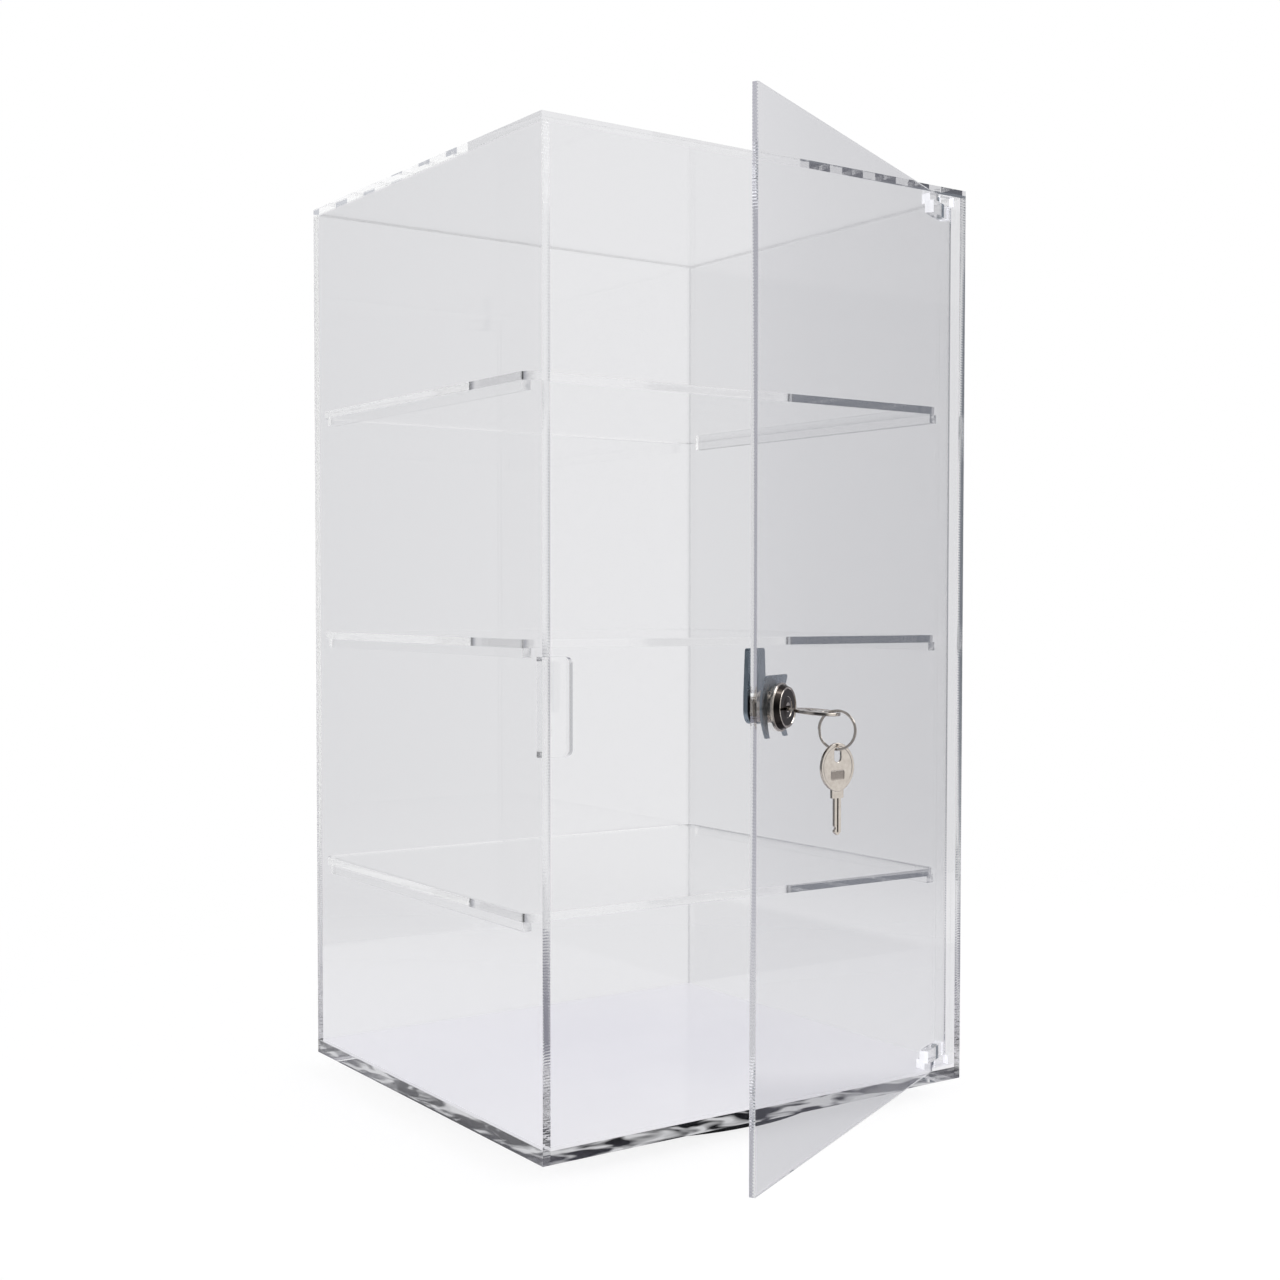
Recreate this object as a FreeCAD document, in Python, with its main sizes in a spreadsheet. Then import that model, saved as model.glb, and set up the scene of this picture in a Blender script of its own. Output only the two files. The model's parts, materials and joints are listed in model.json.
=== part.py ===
import FreeCAD, Part
import math
import os
from types import SimpleNamespace

import Sketcher

# A clear acrylic tower case on a ball-bearing turntable. The origin is on the turntable's axis
# at the table, +Z up, the door side towards -Y and the hinge on the +X side.
# The model stands as it is shown: door ajar, lock open, key in the lock.

# Driving dimensions, in millimetres and degrees
SIZES = {
    # turntable
    "pad_inset": 2,
    "pad_thickness": 1.5,
    "base_thickness": 3,
    "race_gap": 3,
    "race_angle": 90,
    "race_clearance": 0.15,
    "ball_count": 8,
    "ball_radius": 2.5,
    "ball_circle": 105,
    "cage_width": 14,
    "cage_thickness": 1.2,
    "cage_clearance": 0.2,
    "disc_radius": 140,
    "disc_thickness": 4,
    "disc_chamfer": 0.8,
    "skirt_thickness": 3,
    "skirt_drop": 5.5,
    "skirt_clearance": 5,
    "post_radius": 6,
    "post_head_radius": 9,
    "post_head_thickness": 1.5,
    "post_head_clearance": 0.2,
    "post_head_recess": 0.6,
    "running_gap": 0.05,
    "tape_radius": 120,
    "tape_thickness": 0.5,
    # case
    "case_width": 320,
    "case_depth": 320,
    "case_height": 592,
    "wall_sheet": 5,
    "bottom_sheet": 8,
    "liner_sheet": 2,
    # shelves and the strips that carry them
    "shelf_sheet": 5,
    "lower_shelf_level": 140,
    "middle_shelf_level": 298,
    "upper_shelf_level": 451,
    "shelf_side_gap": 0.5,
    "shelf_front_setback": 22,
    "shelf_back_gap": 2,
    "shelf_corner": 8,
    "rail_section": 5.5,
    "rail_front_setback": 26,
    "rail_back_setback": 20,
    # door and its pin hinges
    "door_sheet": 3.5,
    "door_free_gap": 3,
    "door_hinge_gap": 4,
    "door_top_gap": 2.5,
    "door_floor_gap": 0.6,
    "pivot_inset": 15.5,
    "open_angle": 28.65,
    "door_block_length": 30,
    "door_block_thickness": 6,
    "door_block_height": 8,
    "door_block_tail": 10,
    "case_block_length": 24,
    "case_block_depth": 8,
    "case_block_height": 6,
    "block_gap": 0.5,
    "notch_clearance": 2.5,
    "pin_radius": 2,
    "pin_end_gap": 1,
    # strike plate
    "strike_width": 17,
    "strike_thickness": 6,
    "strike_height": 57,
    "strike_level": 260,
    "strike_gap": 0.5,
    "strike_corner": 4,
    # cam lock
    "lock_inset": 29,
    "lock_level": 264.5,
    "barrel_radius": 8.5,
    "barrel_length": 14,
    "barrel_flat": 7.5,
    "barrel_hole_gap": 0.15,
    "rim_radius": 13,
    "rim_thickness": 1.5,
    "bezel_radius": 12.2,
    "bezel_height": 5,
    "face_radius": 10.8,
    "face_lip": 0.9,
    "face_recess": 0.4,
    "plug_radius": 5.5,
    "boss_radius": 3.2,
    "cam_gap": 0.5,
    "cam_length": 31,
    "cam_width": 18.5,
    "cam_tip_width": 15,
    "cam_waist": 6,
    "cam_thickness": 2.5,
    "cam_corner": 2,
    "screw_radius": 1.5,
    "screw_grip": 1.5,
    "screw_head_radius": 4.5,
    "screw_head_height": 2.5,
    "screw_head_rim": 1.25,
    "screw_head_crown": 3,
    "clip_width": 28,
    "clip_top": 17,
    "clip_drop": 16,
    "clip_knee": 5.5,
    "clip_leg_width": 4,
    "clip_splay": 2,
    "clip_thickness": 1.2,
    "clip_bow": 2.8,
    "clip_gap": 0.05,
    "clip_corner": 3,
    # keys and their ring
    "key_thickness": 1.8,
    "bow_width": 22,
    "bow_length": 25.6,
    "bow_flare": 2.4,
    "bow_web": 2.6,
    "bow_hole_radius": 2.2,
    "bow_hole_slot": 3.2,
    "panel_width": 9,
    "panel_height": 5,
    "panel_drop": 14.4,
    "panel_depth": 0.3,
    "shoulder_width": 8,
    "shoulder_root": 3,
    "shoulder_length": 3.4,
    "blade_width": 4.6,
    "blade_length": 19.2,
    "blade_tip": 1.5,
    "blade_groove_width": 1,
    "blade_groove_depth": 0.6,
    "keyway_gap": 0.2,
    "key_stand": 0.3,
    "key_droop": 4.5,
    "ring_radius": 10.3,
    "wire_depth": 1,
    "wire_width": 1.4,
    "wire_parting": 0.3,
    "ring_clearance": 0.6,
    "hang_clearance": 0.6,
}

XY, XZ, YZ = "XY_Plane", "XZ_Plane", "YZ_Plane"
UP = FreeCAD.Vector(0, 0, 1)
NEAR = 1e-6


class Measure:
    """A size with its value and the formula that the document keeps for it."""

    def __init__(self, value, formula):
        self.value = value
        self.formula = formula

    def __add__(self, other):
        other = measure(other)
        return Measure(self.value + other.value, f"({self.formula} + {other.formula})")

    def __sub__(self, other):
        other = measure(other)
        return Measure(self.value - other.value, f"({self.formula} - {other.formula})")

    def __mul__(self, other):
        other = measure(other)
        return Measure(self.value * other.value, f"({self.formula} * {other.formula})")

    def __truediv__(self, other):
        other = measure(other)
        return Measure(self.value / other.value, f"({self.formula} / {other.formula})")

    def __neg__(self):
        return Measure(-self.value, f"(-1 * {self.formula})")

    def __rsub__(self, other):
        return measure(other) - self

    __radd__ = __add__
    __rmul__ = __mul__


def measure(number):
    if isinstance(number, Measure):
        return number
    return Measure(float(number), f"({number})")


def cosine(angle):
    return Measure(math.cos(math.radians(angle.value)), f"cos({angle.formula})")


def sine(angle):
    return Measure(math.sin(math.radians(angle.value)), f"sin({angle.formula})")


def tangent(angle):
    return Measure(math.tan(math.radians(angle.value)), f"tan({angle.formula})")


def root(area):
    return Measure(math.sqrt(area.value), f"sqrt({area.formula})")


doc = FreeCAD.newDocument("tower_display_case")
sheet = doc.addObject("Spreadsheet::Sheet", "sizes")
for row, (alias, number) in enumerate(SIZES.items(), start=1):
    sheet.set(f"A{row}", alias)
    sheet.set(f"B{row}", str(number))
    sheet.setAlias(f"B{row}", alias)
doc.recompute()
d = SimpleNamespace(**{alias: Measure(float(n), f"sizes.{alias}") for alias, n in SIZES.items()})
nodes = []


# Binding, placing and sketching

def bind(obj, prop, size):
    obj.setExpression(prop, measure(size).formula)


def place(obj, x, y, z, turn=0, droop=0):
    """Puts a piece at x, y, z, turned about Z and tipped about its own X axis."""
    x, y, z, turn, droop = (measure(size) for size in (x, y, z, turn, droop))
    base = FreeCAD.Vector(x.value, y.value, z.value)
    obj.Placement = FreeCAD.Placement(base, FreeCAD.Rotation(turn.value, 0, droop.value))
    for axis, size in zip("xyz", (x, y, z)):
        bind(obj, f"Placement.Base.{axis}", size)
    if turn.value:
        bind(obj, "Placement.Rotation.Yaw", turn)
    if droop.value:
        bind(obj, "Placement.Rotation.Roll", droop)


def node(obj, label):
    obj.Label = label
    nodes.append(obj)
    return obj


def box(name, length, width, height):
    obj = doc.addObject("Part::Box", name)
    for prop, size in (("Length", length), ("Width", width), ("Height", height)):
        bind(obj, prop, size)
    return obj


def cylinder(name, radius, height):
    obj = doc.addObject("Part::Cylinder", name)
    bind(obj, "Radius", radius)
    bind(obj, "Height", height)
    return obj


def sketch(body, plane, name):
    obj = body.newObject("Sketcher::SketchObject", name)
    support = next(f for f in body.Origin.OriginFeatures if f.Role == plane)
    obj.AttachmentSupport = [(support, "")]
    obj.MapMode = "FlatFace"
    return obj


def face_sketch(body, plane, name, lift):
    """A sketch lifted off its plane along the plane's normal."""
    obj = sketch(body, plane, name)
    lift = measure(lift)
    obj.AttachmentOffset = FreeCAD.Placement(FreeCAD.Vector(0, 0, lift.value), FreeCAD.Rotation())
    bind(obj, "AttachmentOffset.Base.z", lift)
    return obj


def pin_point(sk, geometry, point, x, y):
    """Holds a sketch point at x, y from the sketch's origin."""
    for kind, size, axis in (("DistanceX", measure(x), -2), ("DistanceY", measure(y), -1)):
        if abs(size.value) < NEAR:
            sk.addConstraint(Sketcher.Constraint("PointOnObject", geometry, point, axis))
            continue
        ends = (-1, 1, geometry, point) if size.value > 0 else (geometry, point, -1, 1)
        index = sk.addConstraint(Sketcher.Constraint(kind, *ends, abs(size.value)))
        bind(sk, f"Constraints[{index}]", size if size.value > 0 else -size)


def arc_between(start, end, centre, radius):
    """A round span that runs anticlockwise from start to end."""
    angles = [math.atan2(spot.y - centre.y, spot.x - centre.x) for spot in (start, end)]
    return Part.ArcOfCircle(Part.Circle(centre, UP, radius), *angles)


def polygon(sk, corners, arcs=None):
    """A closed outline through its corners; arcs holds the centre and radius of each round span."""
    corners = [(measure(x), measure(y)) for x, y in corners]
    first = sk.GeometryCount
    count = len(corners)
    ends = [FreeCAD.Vector(x.value, y.value, 0) for x, y in corners]
    for i in range(count):
        start, end = ends[i], ends[(i + 1) % count]
        if arcs and i in arcs:
            x, y, radius = (measure(size) for size in arcs[i])
            centre = FreeCAD.Vector(x.value, y.value, 0)
            sk.addGeometry(arc_between(start, end, centre, radius.value), False)
            index = sk.addConstraint(Sketcher.Constraint("Radius", first + i, radius.value))
            bind(sk, f"Constraints[{index}]", radius)
        else:
            sk.addGeometry(Part.LineSegment(start, end), False)
    for i in range(count):
        after = first + (i + 1) % count
        sk.addConstraint(Sketcher.Constraint("Coincident", first + i, 2, after, 1))
    for i, (x, y) in enumerate(corners):
        pin_point(sk, first + i, 1, x, y)


def in_order(*levels):
    return sorted(levels, key=lambda size: size.value)


def rectangle(sk, left, bottom, right, top):
    polygon(sk, [(left, bottom), (right, bottom), (right, top), (left, top)])


def circle(sk, x, y, radius):
    x, y, radius = measure(x), measure(y), measure(radius)
    centre = FreeCAD.Vector(x.value, y.value, 0)
    index = sk.addGeometry(Part.Circle(centre, UP, radius.value), False)
    pin_point(sk, index, 3, x, y)
    size = sk.addConstraint(Sketcher.Constraint("Radius", index, radius.value))
    bind(sk, f"Constraints[{size}]", radius)


def oval(sk, y, width, length, flare):
    """An oval of four tangent arcs about a point of the second axis.

    The end arcs are smaller than half the width by flare; the side arcs follow from that."""
    a, b = width / 2, length / 2
    end = a - flare
    lift = b - end
    side = (a * a + lift * lift - end * end) / (2 * flare)
    touch_x = end * (side - a) / (side - end)
    touch_y = lift * side / (side - end)
    low, high = y - touch_y, y + touch_y
    corners = [(touch_x, low), (touch_x, high), (-touch_x, high), (-touch_x, low)]
    arcs = {0: (a - side, y, side), 1: (0, y + lift, end), 2: (side - a, y, side), 3: (0, y - lift, end)}
    polygon(sk, corners, arcs)


# Features

def feature(body, kind, name, sk):
    obj = body.newObject(f"PartDesign::{kind}", name)
    obj.Profile = sk
    return obj


def pad(body, sk, length, symmetric=False):
    """Thickens a sketch towards +Z or +Y, or to both sides."""
    obj = feature(body, "Pad", f"{body.Name}_pad", sk)
    bind(obj, "Length", length)
    if symmetric:
        obj.SideType = "Symmetric"
    support = sk.AttachmentSupport[0][0].Role
    obj.Reversed = support == XZ and not symmetric
    return obj


def pocket(body, sk, depth, symmetric=False, reverse=False):
    """Cuts a sketch into the body, which has to lose volume."""
    doc.recompute()
    before = body.Shape.Volume
    obj = feature(body, "Pocket", f"{sk.Name}_cut", sk)
    bind(obj, "Length", depth)
    obj.Reversed = reverse
    if symmetric:
        obj.SideType = "Symmetric"
    doc.recompute()
    if not body.Shape.Volume < before - NEAR:
        raise RuntimeError(f"{obj.Name} cuts nothing")
    return obj


def revolve(body, sk, axis="V_Axis"):
    obj = feature(body, "Revolution", f"{body.Name}_turned", sk)
    obj.ReferenceAxis = (sk, [axis])
    obj.Angle = 360
    return obj


def round_corners(body, plane, corners, radius):
    """Fillets the edges that stand on the given corners of a plate's outline."""
    doc.recompute()
    base = body.Tip
    wanted = [(measure(x).value, measure(y).value) for x, y in corners]
    across = (lambda p: (p.x, p.y)) if plane == XY else (lambda p: (p.x, p.z))
    names = []
    for index, edge in enumerate(base.Shape.Edges, start=1):
        spots = [across(v.Point) for v in edge.Vertexes]
        for spot in wanted:
            if len(spots) == 2 and all(math.dist(s, spot) < NEAR for s in spots):
                names.append(f"Edge{index}")
    if len(names) != len(wanted):
        raise RuntimeError(f"{body.Name} has {len(names)} of {len(wanted)} corner edges")
    obj = body.newObject("PartDesign::Fillet", f"{body.Name}_round{len(body.Group)}")
    obj.Base = (base, names)
    bind(obj, "Radius", radius)
    return obj


def turned_part(label, plane, corners):
    """A body turned from a half profile about its upright or depth axis."""
    body = doc.addObject("PartDesign::Body", label)
    sk = sketch(body, plane, f"{label}_profile")
    polygon(sk, corners)
    revolve(body, sk)
    return node(body, label)


def blank(label, plane, corners, thickness):
    """A body cut from sheet to a straight-sided outline."""
    body = doc.addObject("PartDesign::Body", label)
    sk = sketch(body, plane, f"{label}_outline")
    polygon(sk, corners)
    pad(body, sk, thickness)
    return body


def plate(label, plane, corners, thickness):
    return node(blank(label, plane, corners, thickness), label)


# Levels, walls and axes that several pieces share

base_level = d.pad_thickness
race_floor = base_level + d.base_thickness
ball_level = race_floor + d.race_gap / 2
race_roof = race_floor + d.race_gap
disc_top = race_roof + d.disc_thickness
case_level = disc_top + d.tape_thickness

case_left = -d.case_width / 2
case_front = -d.case_depth / 2
inner_left = case_left + d.wall_sheet
inner_right = -inner_left
inner_width = d.case_width - 2 * d.wall_sheet
inner_depth = d.case_depth - d.wall_sheet
roof_level = case_level + d.case_height - d.wall_sheet
floor_level = case_level + d.bottom_sheet + d.liner_sheet

pivot_x = inner_right - d.pivot_inset
pivot_depth = d.door_sheet + d.door_block_thickness / 2
pivot_y = case_front + pivot_depth
door_hinge_edge = d.pivot_inset - d.door_hinge_gap
door_free_edge = d.pivot_inset - inner_width + d.door_free_gap
door_bottom = floor_level + d.door_floor_gap
door_top = roof_level - d.door_top_gap
lower_seat = floor_level + d.case_block_height
upper_seat = roof_level - d.case_block_height

lock_x = door_free_edge + d.lock_inset
lock_z = case_level + d.lock_level
cam_level = d.barrel_length + d.cam_gap


def on_door(x, y, z):
    """A point given from the hinge axis on the closed door, where it is with the door ajar."""
    along, across = cosine(d.open_angle), sine(d.open_angle)
    x, y = measure(x), measure(y)
    return pivot_x + x * along - y * across, pivot_y + x * across + y * along, z


def on_lock(x, y, z):
    """A point given from the lock's axis at the door's outer face."""
    return on_door(lock_x + x, y - pivot_depth, lock_z + z)


# Turntable

def make_turntable():
    skirt_inside = d.disc_radius - d.skirt_thickness
    base_radius = skirt_inside - d.skirt_clearance
    pad_disc = node(cylinder("antislip_pad", base_radius - d.pad_inset, d.pad_thickness), "antislip_pad")
    place(pad_disc, 0, 0, 0)

    # The balls run between two V-shaped races, which they meet halfway up the V's sides
    race_slope = d.race_angle / 2
    race_root = (d.ball_radius + d.race_clearance) / sine(race_slope)
    race_reach = (race_root - d.race_gap / 2) * tangent(race_slope)
    turned_part("base_plate", XZ, [
        (d.post_radius, base_level),
        (base_radius, base_level),
        (base_radius, race_floor),
        (d.ball_circle + race_reach, race_floor),
        (d.ball_circle, ball_level - race_root),
        (d.ball_circle - race_reach, race_floor),
        (d.post_radius, race_floor),
    ])

    disc_bore = d.post_radius + d.running_gap
    head_level = disc_top - d.post_head_recess - d.post_head_thickness
    head_seat = head_level - d.post_head_clearance
    head_well = d.post_head_radius + d.post_head_clearance
    skirt_foot = race_roof - d.skirt_drop
    turned_part("turntable_disc", XZ, [
        (disc_bore, race_roof),
        (d.ball_circle - race_reach, race_roof),
        (d.ball_circle, ball_level + race_root),
        (d.ball_circle + race_reach, race_roof),
        (skirt_inside, race_roof),
        (skirt_inside, skirt_foot),
        (d.disc_radius, skirt_foot),
        (d.disc_radius, disc_top - d.disc_chamfer),
        (d.disc_radius - d.disc_chamfer, disc_top),
        (head_well, disc_top),
        (head_well, head_seat),
        (disc_bore, head_seat),
    ])

    turned_part("centre_post", XZ, [
        (0, base_level),
        (d.post_radius, base_level),
        (d.post_radius, head_level),
        (d.post_head_radius, head_level),
        (d.post_head_radius, head_level + d.post_head_thickness),
        (0, head_level + d.post_head_thickness),
    ])

    cage = doc.addObject("PartDesign::Body", "ball_cage")
    ring = sketch(cage, XY, "cage_ring")
    circle(ring, 0, 0, d.ball_circle + d.cage_width / 2)
    circle(ring, 0, 0, d.ball_circle - d.cage_width / 2)
    pad(cage, ring, d.cage_thickness, symmetric=True)
    hole = sketch(cage, XY, "cage_hole")
    circle(hole, d.ball_circle, 0, d.ball_radius + d.cage_clearance)
    window = pocket(cage, hole, 2 * d.cage_thickness, symmetric=True)
    pattern = cage.newObject("PartDesign::PolarPattern", "cage_holes")
    pattern.Originals = [window]
    pattern.Axis = (hole, ["N_Axis"])
    pattern.Angle = 360
    bind(pattern, "Occurrences", d.ball_count)
    cage.Tip = pattern
    place(node(cage, "ball_cage"), 0, 0, ball_level)

    balls = []
    for i in range(SIZES["ball_count"]):
        ball = doc.addObject("Part::Sphere", f"ball_{i + 1}")
        bind(ball, "Radius", d.ball_radius)
        angle = measure(360 * i) / d.ball_count
        place(ball, d.ball_circle * cosine(angle), d.ball_circle * sine(angle), ball_level)
        balls.append(ball)
    group = doc.addObject("Part::Compound", "bearing_balls")
    group.Links = balls
    node(group, "bearing_balls")

    tape = node(cylinder("mounting_tape", d.tape_radius, d.tape_thickness), "mounting_tape")
    place(tape, 0, 0, disc_top)


# Case walls, floor, shelves and rails

def make_case():
    wall_height = d.case_height - d.wall_sheet
    walls = {
        "bottom_panel": (inner_left, case_front, case_level, inner_width, inner_depth, d.bottom_sheet),
        "floor_liner": (inner_left, case_front, case_level + d.bottom_sheet,
                        inner_width, inner_depth, d.liner_sheet),
        "left_panel": (case_left, case_front, case_level, d.wall_sheet, d.case_depth, wall_height),
        "right_panel": (inner_right, case_front, case_level, d.wall_sheet, d.case_depth, wall_height),
        "back_panel": (inner_left, case_front + inner_depth, case_level,
                       inner_width, d.wall_sheet, wall_height),
        "top_panel": (case_left, case_front, roof_level, d.case_width, d.case_depth, d.wall_sheet),
    }
    for label, (x, y, z, *lengths) in walls.items():
        place(node(box(label, *lengths), label), x, y, z)

    levels = {"lower": d.lower_shelf_level, "middle": d.middle_shelf_level, "upper": d.upper_shelf_level}
    shelf_width = inner_width - 2 * d.shelf_side_gap
    shelf_depth = inner_depth - d.shelf_front_setback - d.shelf_back_gap
    rail_length = d.case_depth - d.rail_front_setback - d.rail_back_setback
    rail_left = {"left": inner_left, "right": inner_right - d.rail_section}
    outline = [(0, 0), (shelf_width, 0), (shelf_width, shelf_depth), (0, shelf_depth)]
    for name, level in levels.items():
        underside = case_level + level - d.shelf_sheet
        shelf = plate(f"{name}_shelf", XY, outline, d.shelf_sheet)
        round_corners(shelf, XY, outline, d.shelf_corner)
        place(shelf, inner_left + d.shelf_side_gap, case_front + d.shelf_front_setback, underside)
        for side, x in rail_left.items():
            label = f"{name}_{side}_rail"
            rail = node(box(label, d.rail_section, rail_length, d.rail_section), label)
            place(rail, x, case_front + d.rail_front_setback, underside - d.rail_section)

    outline = [(0, 0), (d.strike_width, 0), (d.strike_width, d.strike_height), (0, d.strike_height)]
    strike = plate("strike_plate", XZ, outline, d.strike_thickness)
    round_corners(strike, XZ, outline[1:3], d.strike_corner)
    strike_foot = case_level + d.strike_level - d.strike_height / 2
    place(strike, inner_left, case_front + d.door_sheet + d.strike_gap, strike_foot)


# Pin hinges: a bored block on the case and one behind the door, joined by a steel pin

def bored_block(label, lengths, reach, bore_radius, put):
    """A block bored along Z at a distance from its left end, put about the bore's lower end."""
    length, depth, height = lengths
    stock = box(f"{label}_stock", length, depth, height)
    place(stock, *put(-reach, -depth / 2))
    bore = cylinder(f"{label}_bore", bore_radius, height)
    place(bore, *put(0, 0))
    cut = doc.addObject("Part::Cut", label)
    cut.Base = stock
    cut.Tool = bore
    return node(cut, label)


def make_hinges():
    case_block = (d.case_block_length, d.case_block_depth, d.case_block_height)
    door_block = (d.door_block_length, d.door_block_thickness, d.door_block_height)
    pin_length = d.door_block_height + d.block_gap + d.case_block_height - d.pin_end_gap
    door_block_low = lower_seat + d.block_gap
    door_block_high = upper_seat - d.block_gap - d.door_block_height
    lower_pin_end = door_block_low + d.door_block_height - pin_length
    levels = {
        "lower": (floor_level, door_block_low, lower_pin_end),
        "upper": (upper_seat, door_block_high, door_block_high),
    }
    for name, (case_z, door_z, pin_z) in levels.items():
        bored_block(f"{name}_case_block", case_block, d.case_block_length / 2,
                    d.pin_radius + d.running_gap,
                    lambda x, y, z=case_z: (pivot_x + x, pivot_y + y, z))
        bored_block(f"{name}_door_block", door_block, d.door_block_length - d.door_block_tail,
                    d.pin_radius,
                    lambda x, y, z=door_z: (*on_door(x, y, z), d.open_angle))
        pin = node(cylinder(f"{name}_hinge_pin", d.pin_radius, pin_length), f"{name}_hinge_pin")
        place(pin, *on_door(0, 0, pin_z), d.open_angle)


# Door panel, notched at its hinge corners where the case blocks stand

def make_door():
    block_reach = root(d.case_block_length * d.case_block_length / 4
                       + d.case_block_depth * d.case_block_depth / 4)
    notch_x = -block_reach - d.notch_clearance
    notch_low = lower_seat + d.block_gap - case_level
    notch_high = upper_seat - d.block_gap - case_level
    low, high = door_bottom - case_level, door_top - case_level
    panel = plate("door_panel", XZ, [
        (door_free_edge, low),
        (notch_x, low),
        (notch_x, notch_low),
        (door_hinge_edge, notch_low),
        (door_hinge_edge, notch_high),
        (notch_x, notch_high),
        (notch_x, high),
        (door_free_edge, high),
    ], d.door_sheet)
    hole = sketch(panel, XZ, "lock_hole")
    circle(hole, lock_x, d.lock_level, d.barrel_radius + d.barrel_hole_gap)
    pocket(panel, hole, d.door_sheet)
    place(panel, *on_door(0, -pivot_depth, case_level), d.open_angle)


# Cam lock

def make_lock():
    bore = d.plug_radius + d.running_gap
    housing = turned_part("lock_housing", XY, [
        (bore, d.barrel_length),
        (d.barrel_radius, d.barrel_length),
        (d.barrel_radius, 0),
        (d.rim_radius, 0),
        (d.rim_radius, -d.rim_thickness),
        (d.bezel_radius, -d.rim_thickness),
        (d.face_radius, -d.bezel_height),
        (d.face_radius - d.face_lip, -d.bezel_height),
        (d.face_radius - d.face_lip, d.face_recess - d.bezel_height),
        (bore, d.face_recess - d.bezel_height),
    ])
    flats = sketch(housing, XZ, "barrel_flats")
    for side in (-1, 1):
        near, far = side * d.barrel_flat, side * d.rim_radius
        left, right = (near, far) if side > 0 else (far, near)
        rectangle(flats, left, -d.rim_radius, right, d.rim_radius)
    pocket(housing, flats, d.barrel_length)
    place(housing, *on_lock(0, 0, 0), d.open_angle)

    cam_seat = d.bezel_height + cam_level
    thread_end = d.cam_thickness - d.screw_grip
    plug = turned_part("lock_plug", XY, [
        (0, 0),
        (d.plug_radius, 0),
        (d.plug_radius, cam_seat),
        (d.boss_radius, cam_seat),
        (d.boss_radius, cam_seat + d.cam_thickness),
        (d.screw_radius, cam_seat + d.cam_thickness),
        (d.screw_radius, cam_seat + thread_end),
        (0, cam_seat + thread_end),
    ])
    keyway = sketch(plug, XZ, "keyway")
    side = d.blade_width / 2 + d.keyway_gap
    edge = d.key_thickness / 2 + d.keyway_gap + sine(d.key_droop) * d.blade_length / 2
    rectangle(keyway, -side, -edge, side, edge)
    pocket(plug, keyway, d.blade_length + d.keyway_gap)
    place(plug, *on_lock(0, -d.bezel_height, 0), d.open_angle)

    half, tip = d.cam_width / 2, d.cam_tip_width / 2
    outline = [(-half, -half), (half, -half), (half, d.cam_waist), (tip, d.cam_length),
               (-tip, d.cam_length), (-half, d.cam_waist)]
    cam = plate("lock_cam", XZ, outline, d.cam_thickness)
    hole = sketch(cam, XZ, "cam_hole")
    circle(hole, 0, 0, d.boss_radius)
    pocket(cam, hole, d.cam_thickness)
    round_corners(cam, XZ, outline[:2], half - d.cam_corner)
    round_corners(cam, XZ, outline[3:5], d.cam_corner)
    place(cam, *on_lock(0, cam_level, 0), d.open_angle)

    screw = turned_part("cam_screw", XY, [
        (0, thread_end),
        (d.screw_radius, thread_end),
        (d.screw_radius, d.cam_thickness),
        (d.screw_head_radius, d.cam_thickness),
        (d.screw_head_radius, d.cam_thickness + d.screw_head_rim),
        (d.screw_head_crown, d.cam_thickness + d.screw_head_height),
        (0, d.cam_thickness + d.screw_head_height),
    ])
    place(screw, *on_lock(0, cam_level, 0), d.open_angle)


# Horseshoe clip: spring steel bowed off the door, which its top and its two legs press on

def make_clip():
    inside = d.barrel_flat + d.clip_gap
    arch = d.barrel_radius + d.clip_gap
    leg = inside + d.clip_splay
    half = d.clip_width / 2
    outline = [
        (-leg - d.clip_leg_width, -d.clip_drop),
        (-leg, -d.clip_drop),
        (-inside, -d.clip_knee),
        (-inside, arch),
        (inside, arch),
        (inside, -d.clip_knee),
        (leg, -d.clip_drop),
        (leg + d.clip_leg_width, -d.clip_drop),
        (half, -d.clip_knee),
        (half, d.clip_top),
        (-half, d.clip_top),
        (-half, -d.clip_knee),
    ]
    horseshoe = blank("clip_horseshoe", XZ, outline, d.clip_bow + d.clip_thickness)
    round_corners(horseshoe, XZ, outline[9:11], d.clip_corner)

    span = (d.clip_top + d.clip_drop) / 2
    middle = (d.clip_top - d.clip_drop) / 2
    bend = (span * span + d.clip_bow * d.clip_bow) / (2 * d.clip_bow)
    bowed = doc.addObject("PartDesign::Body", "clip_bend")
    ring = sketch(bowed, YZ, "clip_ring")
    circle(ring, d.clip_bow - bend, middle, bend)
    circle(ring, d.clip_bow - bend, middle, bend + d.clip_thickness)
    pad(bowed, ring, d.clip_width, symmetric=True)

    for body in (horseshoe, bowed):
        place(body, *on_lock(0, d.door_sheet + d.clip_gap, 0), d.open_angle)
    clip = doc.addObject("Part::Common", "lock_clip")
    clip.Base = horseshoe
    clip.Tool = bowed
    node(clip, "lock_clip")


# Keys and ring

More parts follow.
